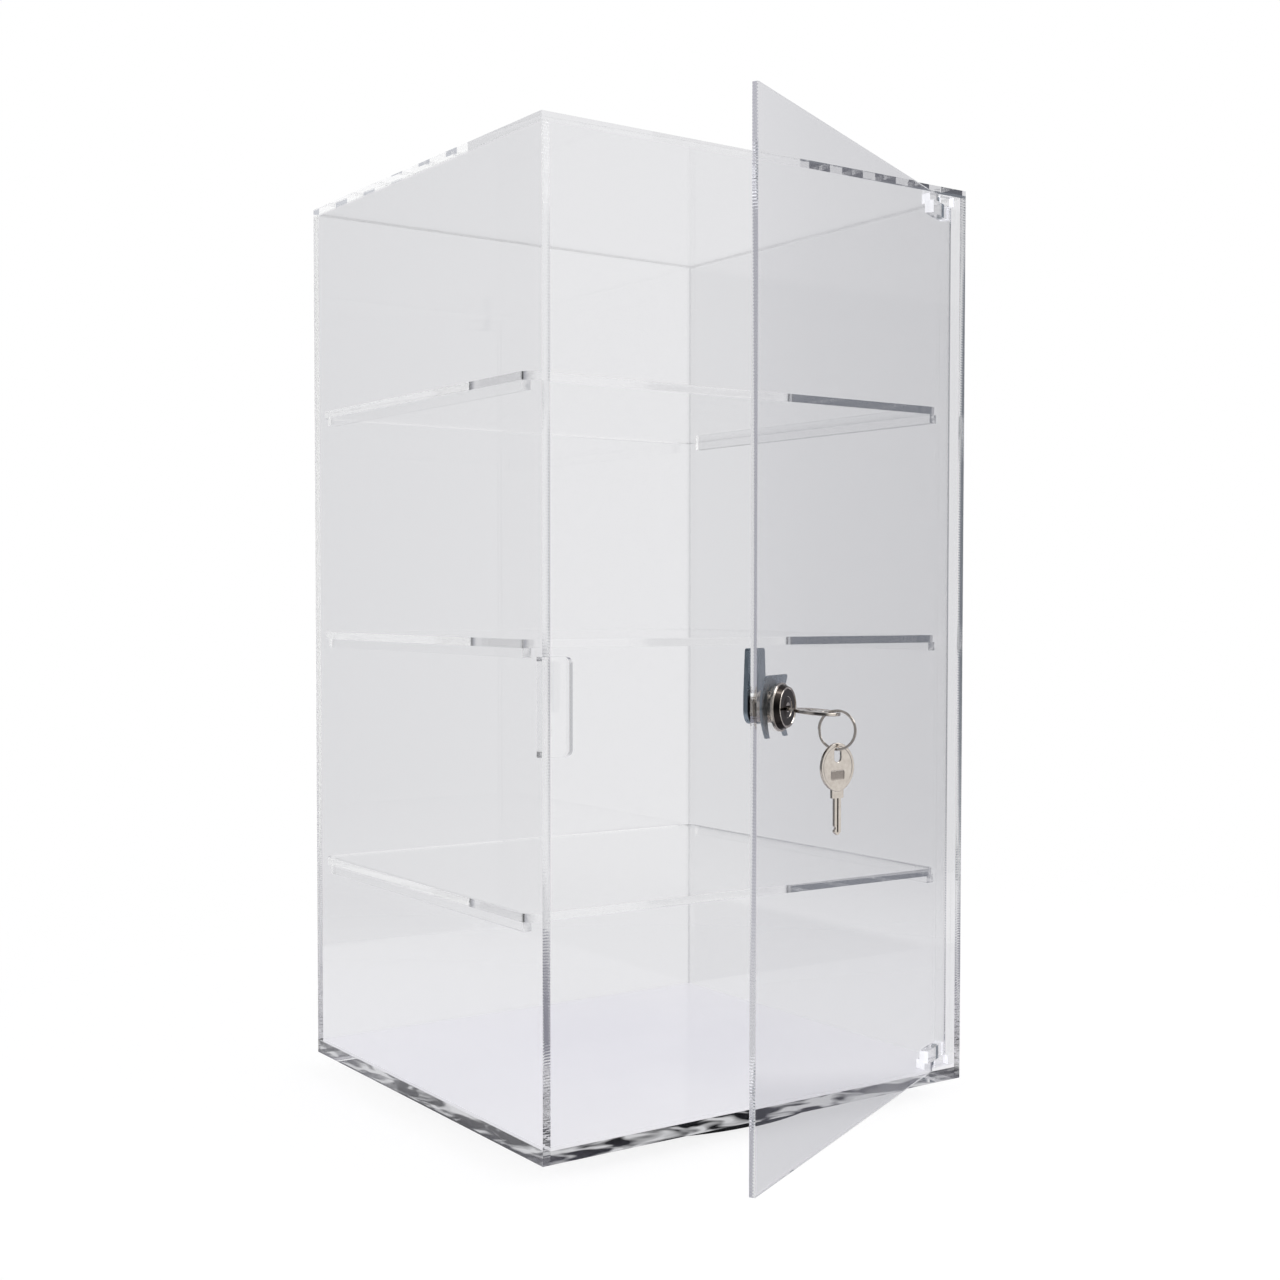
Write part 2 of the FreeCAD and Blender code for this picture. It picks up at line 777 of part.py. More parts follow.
def make_key(label, plane, way):
    """A flat key: from the bow's end at 0 along way times the sketch's second axis."""
    key = doc.addObject("PartDesign::Body", label)
    bow = sketch(key, plane, f"{label}_bow")
    oval(bow, way * d.bow_length / 2, d.bow_width, d.bow_length, d.bow_flare)
    pad(key, bow, d.key_thickness, symmetric=True)

    shoulder, blade = d.shoulder_width / 2, d.blade_width / 2
    stop = d.bow_length + d.shoulder_length
    end = stop + d.blade_length
    half = [(shoulder, d.bow_length - d.shoulder_root), (shoulder, stop), (blade, stop),
            (blade, end - d.blade_tip), (blade - d.blade_tip, end)]
    half = [(u, way * v) for u, v in half]
    shank = sketch(key, plane, f"{label}_shank")
    polygon(shank, half + [(-u, v) for u, v in reversed(half)])
    pad(key, shank, d.key_thickness, symmetric=True)

    # An oblong hole for the ring: two round ends and the straight stretch between them
    near = d.bow_web + d.bow_hole_radius
    far = near + d.bow_hole_slot
    through = 2 * d.key_thickness
    for name, level in (("near", near), ("far", far)):
        hole = sketch(key, plane, f"{label}_{name}_hole")
        circle(hole, 0, way * level, d.bow_hole_radius)
        pocket(key, hole, through, symmetric=True)
    between = sketch(key, plane, f"{label}_hole_sides")
    low, high = in_order(way * near, way * far)
    rectangle(between, -d.bow_hole_radius, low, d.bow_hole_radius, high)
    pocket(key, between, through, symmetric=True)

    # A sunk panel on each face of the bow and a groove down the front of the blade
    low, high = in_order(way * d.panel_drop, way * (d.panel_drop + d.panel_height))
    for name, side in (("front", 1), ("back", -1)):
        panel = face_sketch(key, plane, f"{label}_{name}_panel", side * d.key_thickness / 2)
        rectangle(panel, -d.panel_width / 2, low, d.panel_width / 2, high)
        pocket(key, panel, d.panel_depth, reverse=side < 0)
    slot = face_sketch(key, plane, f"{label}_groove", d.key_thickness / 2)
    low, high = in_order(way * stop, way * (end - d.blade_tip))
    rectangle(slot, -d.blade_groove_width / 2, low, d.blade_groove_width / 2, high)
    pocket(key, slot, d.blade_groove_depth)
    return node(key, label)


def make_keys():
    # The key droops a little about the middle of its blade
    blade_middle = d.blade_length / 2 - d.key_stand - d.bezel_height
    reach = d.bow_length + d.shoulder_length + d.blade_length / 2
    along, down = cosine(d.key_droop), sine(d.key_droop)
    end_y, end_z = blade_middle - reach * along, -reach * down
    key = make_key("lock_key", XY, measure(1))
    place(key, *on_lock(0, end_y, end_z), d.open_angle, d.key_droop)

    # The ring hangs on the web between the bow's end and its hole, which it clears inside.
    # It is wound of flat wire, and a parting line round its outside shows where its turns meet.
    wire_half = d.wire_depth / 2
    inside = d.ring_radius - wire_half - d.ring_clearance
    web_half = d.bow_web / 2
    web_rise = root(inside * inside - web_half * web_half) - d.key_thickness / 2
    ring = doc.addObject("PartDesign::Body", "key_ring")
    wire = sketch(ring, XY, "ring_wire")
    side, inner, outer = d.wire_width / 2, d.ring_radius - wire_half, d.ring_radius + wire_half
    polygon(wire, [(side, inner), (side, outer), (d.wire_parting, outer), (0, outer - d.wire_parting),
                   (-d.wire_parting, outer), (-side, outer), (-side, inner)])
    revolve(ring, wire, "H_Axis")
    node(ring, "key_ring")
    ring_x, ring_y, ring_z = on_lock(0, end_y + web_half * along, end_z + web_half * down - web_rise)
    place(ring, ring_x, ring_y, ring_z, d.open_angle)

    hang = d.bow_web + wire_half + d.hang_clearance
    spare = make_key("spare_key", XZ, measure(-1))
    place(spare, ring_x, ring_y, ring_z - d.ring_radius + hang)


make_turntable()
make_case()
make_hinges()
make_door()
make_lock()
make_clip()
make_keys()
doc.recompute()

failed = [o.Name for o in doc.Objects if {"Invalid", "Error"} & set(o.State)]
failed += [o.Label for o in nodes if o.Shape.isNull() or not o.Shape.isValid()]
if failed:
    raise RuntimeError(f"failed: {failed}")
os.makedirs("parts", exist_ok=True)
for obj in nodes:
    obj.Shape.exportStep(f"parts/{obj.Label}.step")
print(f"{len(nodes)} parts")
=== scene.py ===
import json
import math

import bpy
import numpy as np
from mathutils import Matrix, Vector


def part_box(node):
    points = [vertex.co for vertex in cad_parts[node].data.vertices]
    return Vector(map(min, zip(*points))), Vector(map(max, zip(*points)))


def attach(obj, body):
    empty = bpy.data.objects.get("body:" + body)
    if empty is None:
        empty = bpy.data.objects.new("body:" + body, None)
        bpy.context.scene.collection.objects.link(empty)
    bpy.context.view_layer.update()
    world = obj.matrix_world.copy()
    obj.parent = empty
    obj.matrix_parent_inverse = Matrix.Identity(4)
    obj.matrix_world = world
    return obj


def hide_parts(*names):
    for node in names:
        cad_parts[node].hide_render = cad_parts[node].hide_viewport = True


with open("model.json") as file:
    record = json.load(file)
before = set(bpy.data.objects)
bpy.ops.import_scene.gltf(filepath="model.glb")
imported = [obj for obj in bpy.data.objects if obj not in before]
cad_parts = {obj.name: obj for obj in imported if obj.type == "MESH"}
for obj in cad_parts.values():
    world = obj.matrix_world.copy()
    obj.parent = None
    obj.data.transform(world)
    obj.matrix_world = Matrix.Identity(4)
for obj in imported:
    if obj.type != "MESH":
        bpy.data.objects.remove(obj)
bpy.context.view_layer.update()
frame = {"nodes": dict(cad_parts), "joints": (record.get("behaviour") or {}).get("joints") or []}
nodes = frame["nodes"]
joints = {joint["name"]: joint for joint in frame["joints"]}
scene = bpy.context.scene
mm = 0.001
up = np.array([0.0, 0.0, 1.0])
doorNormal = np.array(joints["lock_turn"]["axis"])  # out of the door
doorAlong = np.cross(up, doorNormal)  # along the door towards its hinge
lockPlace, lockAxes = joints["lock_turn"]["pos_m"], (doorAlong, -doorNormal, up)


# helpers

def toLinear(hexCode):  # sRGB hex to linear RGBA
    srgb = np.array([int(hexCode[i:i + 2], 16) for i in (1, 3, 5)]) / 255
    linear = np.where(srgb <= 0.04045, srgb / 12.92, ((srgb + 0.055) / 1.055) ** 2.4)
    return (*linear.tolist(), 1.0)


white = toLinear("#FFFFFF")


def addNode(tree, kind, inputs=None, stops=(), **settings):  # inputs are values or links, stops are a ramp's
    made = tree.nodes.new("ShaderNode" + kind)
    for name, value in settings.items():
        setattr(made, name, value)
    for name, value in (inputs or {}).items():
        if isinstance(value, bpy.types.NodeSocket):
            tree.links.new(value, made.inputs[name])
        else:
            made.inputs[name].default_value = value
    if stops:
        for extra in stops[2:]:  # a ramp starts with two
            made.color_ramp.elements.new(1.0)
        for stop, (place, colour) in zip(made.color_ramp.elements, stops):
            stop.position, stop.color = place, colour
    return made


def newMaterial(name):
    material = bpy.data.materials.new(name)
    material.use_nodes = True
    material.node_tree.nodes.clear()
    return material, material.node_tree


def setMaterial(obj, material):
    obj.data.materials.clear()
    obj.data.materials.append(material)


def gridFaces(rows, cols, closed=True):  # quads of a grid whose columns close; closed joins its rows too
    i, j = np.meshgrid(np.arange(rows if closed else rows - 1), np.arange(cols), indexing="ij")
    a, b = (i + 1) % rows, (j + 1) % cols
    return np.stack([i * cols + j, a * cols + j, a * cols + b, i * cols + b], -1).reshape(-1, 4)


def sweepFaces(rows, cols):  # an open grid with a flat cap at each end
    ring = np.arange(cols)
    return gridFaces(rows, cols, False).tolist() + [ring.tolist(), (ring[::-1] + (rows - 1) * cols).tolist()]


def toWorld(points, place, axes):  # points in mm from a place in metres, along three axes
    return np.asarray(place) + mm * np.asarray(points) @ np.array(axes)


def addPiece(name, parts, body, stands, materials, bands=None, sharp=35):
    points, faces = [], []
    for spots, quads in parts:
        start = sum(len(p) for p in points)
        points.append(np.asarray(spots).reshape(-1, 3))
        faces += [[k + start for k in face] for face in np.asarray(quads, dtype=object).tolist()]
    mesh = bpy.data.meshes.new(name)
    mesh.from_pydata(np.vstack(points).tolist(), [], faces)
    for material in materials:
        mesh.materials.append(material)
    if bands is not None:
        mesh.polygons.foreach_set("material_index", bands)
    mesh.polygons.foreach_set("use_smooth", [True] * len(faces))
    mesh.set_sharp_from_angle(angle=math.radians(sharp))
    obj = bpy.data.objects.new(name, mesh)
    scene.collection.objects.link(obj)
    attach(obj, body)
    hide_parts(stands)
    print("piece:", name, len(faces), "faces")


def smoothStep(value):
    t = np.clip(value, 0.0, 1.0)
    return t * t * (3 - 2 * t)


meshCare = {
    "joinReach": 0.001,  # mm, corners of the CAD's loose triangles that are nearer than this are one
    "flatWeight": 100,  # large faces stay flat up to their edges
}


def joinCorners(obj):
    obj.modifiers.new("join", "WELD").merge_threshold = meshCare["joinReach"] * mm


def flattenFaces(obj):
    obj.modifiers.new("flatFaces", "WEIGHTED_NORMAL").weight = meshCare["flatWeight"]


# camera: stands left of the door, a little above half height

camera = {
    "place": (-0.6555, -1.0344, 0.3325),  # metres
    "heading": 37.054,  # degrees from +Y towards +X
    "pitch": -2.051,
    "roll": 0.203,
    "frameSize": 1280,
    "focalPixels": 1780.2,
    "axisPixel": (776.9, 664.8),  # where the lens axis meets the picture
    "sensor": 36.0,
}


def makeCamera(s):
    data = bpy.data.cameras.new("photoCamera")
    data.sensor_width = s["sensor"]
    data.lens = s["focalPixels"] / s["frameSize"] * s["sensor"]
    data.shift_x = 0.5 - s["axisPixel"][0] / s["frameSize"]
    data.shift_y = s["axisPixel"][1] / s["frameSize"] - 0.5
    obj = bpy.data.objects.new("photoCamera", data)
    scene.collection.objects.link(obj)
    turns = ((-s["heading"], "Z"), (90 + s["pitch"], "X"), (s["roll"], "Z"))
    heading, pitch, roll = (Matrix.Rotation(math.radians(angle), 4, axis) for angle, axis in turns)
    obj.matrix_world = Matrix.Translation(s["place"]) @ heading @ pitch @ roll
    scene.camera = obj


makeCamera(camera)
print("camera set")


# materials: one noise gives each opaque finish its two tones, its gloss and its relief

finishes = {  # grain and relief in mm; skins and cells finer than half a mm are drawn that coarse, to show
    # opal acrylic sheet, cast between glass plates: milky, evenly glossy, very faint clouds
    "white_acrylic": {"tone": "#E5E4E5", "shade": "#DEDDDF", "grain": (60, 60, 60),
                      "roughness": (0.06, 0.16), "relief": 0.004, "metal": 0.0},
    # ABS plastic, injection moulded in an eroded mould: black with a soft sheen and a fine pebbled skin
    "black_plastic": {"tone": "#0D0D0F", "shade": "#17171A", "grain": (0.7, 0.7, 0.7),
                      "roughness": (0.32, 0.5), "relief": 0.02, "metal": 0.0},
    # styrene rubber, pressed sheet: dull black, dusty where it was handled
    "black_rubber": {"tone": "#0A0A0A", "shade": "#191918", "grain": (3, 3, 3),
                     "roughness": (0.6, 0.85), "relief": 0.03, "metal": 0.0},
    # natural nylon, moulded: ivory, waxy, with flow clouds
    "natural_nylon": {"tone": "#E9E5D9", "shade": "#DDD7C6", "grain": (8, 8, 3),
                      "roughness": (0.35, 0.5), "relief": 0.01, "metal": 0.0},
    # chrome steel, ground and lapped: bright mirror with hairline marks
    "bearing_steel": {"tone": "#C2C4C6", "shade": "#AEB1B4", "grain": (1.5, 1.5, 0.2),
                      "roughness": (0.06, 0.16), "relief": 0.002, "metal": 1.0},
    # polyethylene foam tape, die cut: black, matt, full of small cells
    "foam_tape": {"tone": "#101010", "shade": "#1F1F1F", "grain": (0.5, 0.5, 0.5),
                  "roughness": (0.8, 0.95), "relief": 0.08, "metal": 0.0},
    # zinc plate on stamped steel, blue passivated: cool grey satin with drawn lines
    "zinc_steel": {"tone": "#8C979F", "shade": "#6E7983", "grain": (1.2, 1.2, 6),
                   "roughness": (0.22, 0.4), "relief": 0.006, "metal": 1.0},
    # nickel plate on brass, tumbled and plated: warm, almost a mirror, a little wavy
    "nickel": {"tone": "#CFC8C0", "shade": "#AFA79F", "grain": (2.5, 2.5, 2.5),
               "roughness": (0.1, 0.24), "relief": 0.012, "metal": 1.0},
    # darker nickel, painted shade: on the lock's sunk face, cone and outer plug face it stands in for the dark
    # that polished nickel mirrors there; a dark mirror with a brown cast
    "nickel_painted_dark": {"tone": "#4E4844", "shade": "#3B3632", "grain": (2, 2, 2),
                     "roughness": (0.08, 0.2), "relief": 0.006, "metal": 1.0},
    # nickel left as stamped in the sunk panels: grey and dull
    "dull_nickel": {"tone": "#A39B95", "shade": "#7F7873", "grain": (0.6, 0.6, 0.6),
                    "roughness": (0.35, 0.55), "relief": 0.02, "metal": 1.0},
}


def clouded(name, s, detail=4.0, spread=(0.3, 0.7)):  # the spread holds most of a noise's values
    material, tree = newMaterial(name)
    coords = addNode(tree, "TexCoord")
    grain = addNode(tree, "Mapping", {
        "Vector": coords.outputs["Object"], "Scale": [1 / (size * mm) for size in s["grain"]]})
    cloud = addNode(tree, "TexNoise", {"Vector": grain.outputs[0], "Scale": 1.0, "Detail": detail}).outputs[0]
    tone = addNode(tree, "MixRGB", {0: cloud, 1: toLinear(s["tone"]), 2: toLinear(s["shade"])})
    gloss = addNode(tree, "MapRange", {
        "Value": cloud, "From Min": spread[0], "From Max": spread[1],
        "To Min": s["roughness"][0], "To Max": s["roughness"][1]})
    relief = addNode(tree, "Bump", {"Strength": 1.0, "Distance": s["relief"] * mm, "Height": cloud})
    body = addNode(tree, "BsdfPrincipled", {
        "Base Color": tone.outputs[0], "Roughness": gloss.outputs[0], "Metallic": s["metal"],
        "Normal": relief.outputs[0]})
    addNode(tree, "OutputMaterial", {"Surface": body.outputs[0]})
    return material


finish = {name: clouded(name, s) for name, s in finishes.items()}
usedOn = {
    "white_acrylic": ["floor_liner"],
    "black_plastic": ["base_plate", "turntable_disc"],
    "black_rubber": ["antislip_pad"],
    "natural_nylon": ["ball_cage"],
    "bearing_steel": ["bearing_balls"],
    "foam_tape": ["mounting_tape"],
    "zinc_steel": ["lock_cam", "lock_clip", "cam_screw", "centre_post", "lower_hinge_pin", "upper_hinge_pin"],
    "nickel": ["lock_housing", "lock_plug", "lock_key", "key_ring", "spare_key"],
}
softEdge = {
    "width": {"base_plate": 0.4, "turntable_disc": 0.3, "centre_post": 0.3, "lock_cam": 0.3, "lock_clip": 0.2,
              "lower_hinge_pin": 0.2, "upper_hinge_pin": 0.2},  # mm
    "segments": 2,
    "angle": 40,  # degrees, flatter edges stay as they are
}


def softenEdges(s):
    for name, width in s["width"].items():
        joinCorners(nodes[name])
        edge = nodes[name].modifiers.new("softEdge", "BEVEL")
        edge.width = width * mm
        edge.segments = s["segments"]
        edge.limit_method = "ANGLE"
        edge.angle_limit = math.radians(s["angle"])
        flattenFaces(nodes[name])


for slot, names in usedOn.items():
    for name in names:
        setMaterial(nodes[name], finish[slot])
softenEdges(softEdge)
print("opaque finishes set")


# clear acrylic, cast sheet cut to size: glassy faces; edges polished, milled with ripples or left as sawn

acrylic = {
    "tint": "#FEFEFE",
    "ior": 1.49,
    "millPitch": 1.7,  # mm between the cutter marks on a milled edge
    "millDepth": 0.02,  # mm
    "edgeLimit": 0.4,  # cosine, faces that look less than this along the sheet's normal are its edges
    "sawnTone": "#F4F4F6",  # ends left as sawn
    "sawnShare": 0.85,
    "sawnRoughness": 0.7,
    "sawnPaintedGlow": 0.45,  # painted glow, emission standing in for light that the sheet pipes to a sawn end
    "sawnLimit": 0.8,  # cosine
    "paintedGlowGrain": 25,  # mm, patches of painted glow that stand in for light from the white liner where it lies close
    "paintedGlowDetail": 1.5,
    "paintedGlowDistortion": 0.6,
    "paintedGlowSpread": (0.47, 0.6),
    "paintedGlowTone": "#CCCCCE",
    "paintedGlowLimit": 0.6,  # cosine, patches are on the upper face
    "lightPass": "#FBFBFD",  # what each face lets through to lamps and matt surfaces
}


def faceShare(tree, normal, direction, limit, over=True):  # 1 on faces that look along a direction, or don't
    facing = addNode(tree, "VectorMath", {0: normal, 1: tuple(direction)}, operation="DOT_PRODUCT")
    flat = addNode(tree, "Math", {0: facing.outputs["Value"]}, operation="ABSOLUTE")
    kind = "GREATER_THAN" if over else "LESS_THAN"
    return addNode(tree, "Math", {0: flat.outputs[0], 1: limit}, operation=kind).outputs[0]


def clearAcrylic(name, s, milled=None, sawn=None, paintedLinerGlow=False):
    material, tree = newMaterial(name)
    coords = addNode(tree, "TexCoord")
    normal, spot = coords.outputs["Normal"], coords.outputs["Object"]
    body = addNode(tree, "BsdfPrincipled", {
        "Base Color": toLinear(s["tint"]), "Roughness": 0.0, "IOR": s["ior"], "Transmission Weight": 1.0})
    surface = body.outputs[0]
    if milled is not None:  # cutter marks cross the upright edges of a sheet with this normal
        level = addNode(tree, "SeparateXYZ", {0: spot}).outputs["Z"]
        steps = addNode(tree, "Math", {
            0: level, 1: 2 * math.pi / (s["millPitch"] * mm)}, operation="MULTIPLY")
        ripple = addNode(tree, "Math", {0: steps.outputs[0]}, operation="SINE")
        onEdge = faceShare(tree, normal, milled, s["edgeLimit"], False)
        upright = faceShare(tree, normal, up, s["edgeLimit"], False)
        cut = addNode(tree, "Math", {0: onEdge, 1: upright}, operation="MULTIPLY")
        marks = addNode(tree, "Math", {0: ripple.outputs[0], 1: cut.outputs[0]}, operation="MULTIPLY")
        bump = addNode(tree, "Bump", {
            "Strength": 1.0, "Distance": s["millDepth"] * mm, "Height": marks.outputs[0]})
        tree.links.new(bump.outputs[0], body.inputs["Normal"])
    if sawn is not None:  # ends that look along this direction are left as sawn and scatter the light, and glow with painted light
        ends = faceShare(tree, normal, sawn, s["sawnLimit"])
        frosted = addNode(tree, "Math", {0: ends, 1: s["sawnShare"]}, operation="MULTIPLY")
        frostAndPaintedGlow = addNode(tree, "BsdfPrincipled", {
            "Base Color": toLinear(s["sawnTone"]), "Roughness": s["sawnRoughness"],
            "Emission Color": toLinear(s["sawnTone"]), "Emission Strength": s["sawnPaintedGlow"]})
        surface = addNode(tree, "MixShader", {
            0: frosted.outputs[0], 1: surface, 2: frostAndPaintedGlow.outputs[0]}).outputs[0]
    if paintedLinerGlow:  # painted light: emission patches on the upper face stand in for light from the white liner entering where it lies close
        patch = addNode(tree, "TexNoise", {
            "Vector": spot, "Scale": 1 / (s["paintedGlowGrain"] * mm), "Detail": s["paintedGlowDetail"],
            "Distortion": s["paintedGlowDistortion"]})
        close = addNode(tree, "MapRange", {
            "Value": patch.outputs[0], "From Min": s["paintedGlowSpread"][0], "From Max": s["paintedGlowSpread"][1]})
        rise = addNode(tree, "SeparateXYZ", {0: normal}).outputs["Z"]
        above = addNode(tree, "Math", {0: rise, 1: s["paintedGlowLimit"]}, operation="GREATER_THAN")
        paintedGlowShare = addNode(tree, "Math", {0: close.outputs[0], 1: above.outputs[0]}, operation="MULTIPLY")
        glow = addNode(tree, "Emission", {"Color": toLinear(s["paintedGlowTone"]), "Strength": 1.0})
        surface = addNode(tree, "MixShader", {0: paintedGlowShare.outputs[0], 1: surface, 2: glow.outputs[0]}).outputs[0]
    clear = addNode(tree, "BsdfTransparent", {"Color": toLinear(s["lightPass"])})
    path = addNode(tree, "LightPath")
    passes = addNode(tree, "Math", {0: path.outputs["Is Shadow Ray"], 1: path.outputs["Is Diffuse Ray"]},
                     operation="MAXIMUM")
    mix = addNode(tree, "MixShader", {0: passes.outputs[0], 1: surface, 2: clear.outputs[0]})
    addNode(tree, "OutputMaterial", {"Surface": mix.outputs[0]})
    return material


# acrylic sheets: the glued ones swell by a hair, so that light crosses a joint as it does through cement

sheets = {
    "crisp": 30,  # degrees, edges sharper than this stay crisp
    "glued": 0.015,  # mm that a cemented sheet reaches into its neighbour
    "loose": -0.01,  # a loose sheet keeps an air gap
}
cutFrom = {  # how each cut of acrylic is finished, and what is cut from it
    "acrylicSideSheet": ({"milled": (1, 0, 0)}, ["left_panel", "right_panel"]),
    "acrylicDoorSheet": ({"milled": doorNormal}, ["door_panel"]),
    "acrylicBottomSheet": ({"paintedLinerGlow": True}, ["bottom_panel"]),
    "acrylicCaseBlock": ({"sawn": (1, 0, 0)}, ["lower_case_block", "upper_case_block"]),
    "acrylicDoorBlock": ({"sawn": doorAlong}, ["lower_door_block", "upper_door_block"]),
    "acrylicPlainSheet": ({}, [
        "back_panel", "top_panel", "strike_plate", "lower_shelf", "middle_shelf", "upper_shelf",
        "lower_left_rail", "lower_right_rail", "middle_left_rail", "middle_right_rail", "upper_left_rail",
        "upper_right_rail"]),
}


def dressSheets(s):
    for kind, (cut, names) in cutFrom.items():
        material = clearAcrylic(kind, acrylic, **cut)
        for name in names:
            sheet = nodes[name]
            setMaterial(sheet, material)
            joinCorners(sheet)
            swell = sheet.modifiers.new("swell", "DISPLACE")
            swell.mid_level = 0.0
            swell.strength = (s["loose"] if "shelf" in name else s["glued"]) * mm
            sheet.modifiers.new("crispEdge", "EDGE_SPLIT").split_angle = math.radians(s["crisp"])
            flattenFaces(sheet)


dressSheets(sheets)
print("sheets dressed")


# keys: stamped blanks with a raised rim, an oblong hole and a sunk panel

keyBlank = {
    "thickness": 1.8, "edge": 0.35,  # mm, with the radius of its worn edges
    "bowWidth": 22.0, "bowLength": 25.6, "bowFlare": 2.4,
    "web": 2.6, "holeRadius": 2.2, "holeSlot": 3.2,
    "rimWidth": 1.5, "rimStep": 0.22, "rimSlope": 0.5,
    "panelDrop": 14.4, "panelWidth": 9.0, "panelHeight": 5.0, "panelDepth": 0.3, "panelSlope": 0.35,
    "panelShare": 0.9,  # of its depth, where the dull finish begins
    "shoulderWidth": 8.0, "shoulderRoot": 3.0, "shoulderLength": 3.4, "shoulderEase": 0.3,
    "shankInset": 0.1, "shankEdge": 0.2,  # how far its faces lie below the bow's, and its chamfer
    "bladeWidth": 4.6, "bladeLength": 19.2, "bladeTip": 1.5, "bladeStart": 0.02,
    "grooveWidth": 1.0, "grooveDepth": 0.6,
    "notchFromTip": 3.6, "notchWidth": 1.6, "notchDepth": 0.8,
    "turns": 192, "rings": 44, "slotSteps": 40, "bladeStep": 0.2,
    "droop": 4.5,  # degrees that the key in the lock hangs
}


def arcPoints(x, y, radius, start, end, count=90):
    turn = np.linspace(start, end, count)
    return np.stack([x + radius * np.cos(turn), y + radius * np.sin(turn)], -1)


def polarReach(outline, centre, turns):  # distance of an outline from a centre, by heading
    offset = outline - centre
    heading = np.arctan2(offset[:, 1], offset[:, 0])
    order = np.argsort(heading)
    return np.interp(turns, heading[order], np.hypot(*offset.T)[order], period=2 * np.pi)


def wornFall(gap, radius):  # how far a quarter round lies below its top, by distance from the edge
    return radius - np.sqrt(radius ** 2 - (radius - np.minimum(gap, radius)) ** 2)


def keyBow(s):
    # the bow's face between its hole and its outline: along each heading from the hole, height falls from the
    # rounded edges and the rim to the field and the sunk panel; the back mirrors the front
    a, b = s["bowWidth"] / 2, s["bowLength"] / 2
    end = a - s["bowFlare"]
    lift = b - end
    side = (a * a + lift * lift - end * end) / (2 * s["bowFlare"])
    turn = math.atan2(lift, side - a)
    outline = np.vstack([
        arcPoints(a - side, b, side, -turn, turn), arcPoints(0, b + lift, end, turn, math.pi - turn),
        arcPoints(side - a, b, side, math.pi - turn, math.pi + turn),
        arcPoints(0, b - lift, end, math.pi + turn, 2 * math.pi - turn)])
    near = s["web"] + s["holeRadius"]
    far = near + s["holeSlot"]
    rise = np.linspace(near, far, s["slotSteps"])
    slotSides = [np.stack([np.full_like(rise, x), rise], -1) for x in (s["holeRadius"], -s["holeRadius"])]
    hole = np.vstack([
        arcPoints(0, far, s["holeRadius"], 0, math.pi),
        arcPoints(0, near, s["holeRadius"], math.pi, 2 * math.pi), *slotSides])
    centre = np.array([0.0, (near + far) / 2])
    turns = np.linspace(0, 2 * np.pi, s["turns"], endpoint=False)
    inner, outer = polarReach(hole, centre, turns), polarReach(outline, centre, turns)
    share = 0.5 - 0.5 * np.cos(np.linspace(0, np.pi, s["rings"]))[:, None]
    wide = outer - inner
    reach = inner + share * wide
    x, y = reach * np.cos(turns), centre[1] + reach * np.sin(turns)
    fromHole, fromRim = share * wide, (1 - share) * wide
    field = smoothStep((fromRim - s["rimWidth"]) / s["rimSlope"])
    insideX = smoothStep((s["panelWidth"] / 2 - np.abs(x)) / s["panelSlope"])
    middle = s["panelDrop"] + s["panelHeight"] / 2
    insideY = smoothStep((s["panelHeight"] / 2 - np.abs(y - middle)) / s["panelSlope"])
    z = s["thickness"] / 2 - s["rimStep"] * field - s["panelDepth"] * insideX * insideY
    z = z - wornFall(fromHole, s["edge"]) - wornFall(fromRim, s["edge"])
    front = np.stack([x, y, z], -1)
    back = (front * (1, 1, -1))[::-1]
    sunk = (insideX * insideY > s["panelShare"]).astype(int)
    bands = np.concatenate([sunk, sunk[::-1]]).ravel()
    return np.concatenate([front, back]).reshape(-1, 3), gridFaces(2 * s["rings"], s["turns"]), bands


def keyShank(s):
    # a grooved section swept from the bow to the tip: half width steps in at the shoulder and tapers at its
    # end; the notch near the tip is full within a quarter of its width and gone at three quarters
    ease, edge = s["shoulderEase"], s["shankEdge"]
    stop = s["bowLength"] + s["shoulderLength"]
    end = stop + s["bladeLength"]
    start = s["bowLength"] - s["shoulderRoot"]
    along = np.concatenate([
        [start, stop - ease, stop], np.arange(stop + s["bladeStart"], end, s["bladeStep"]), [end]])
    blade = s["bladeWidth"] / 2 - np.maximum(0, along - (end - s["bladeTip"]))
    half = np.where(along <= stop - ease, s["shoulderWidth"] / 2, np.where(
        along <= stop, s["shoulderWidth"] / 2 - ease, blade))
    notch = s["notchDepth"] * smoothStep(1.5 - np.abs(along - end + s["notchFromTip"]) / s["notchWidth"] * 2)
    right = half - notch * (along > stop)
    inBlade = (along > stop) & (along < end - s["bladeTip"])
    deep = np.where(inBlade, s["grooveDepth"], 0.0)
    groove = np.full_like(along, s["grooveWidth"] / 2)
    top = np.full_like(along, s["thickness"] / 2 - s["shankInset"])
    section = [(-half + edge, -top), (right - edge, -top), (right, -top + edge), (right, top - edge),
               (right - edge, top), (groove, top), (groove, top - deep), (-groove, top - deep),
               (-groove, top), (-half + edge, top), (-half, top - edge), (-half, -top + edge)]
    points = np.stack([np.stack([x, along, z], -1) for x, z in section], 1)
    return points.reshape(-1, 3), sweepFaces(len(along), len(section))


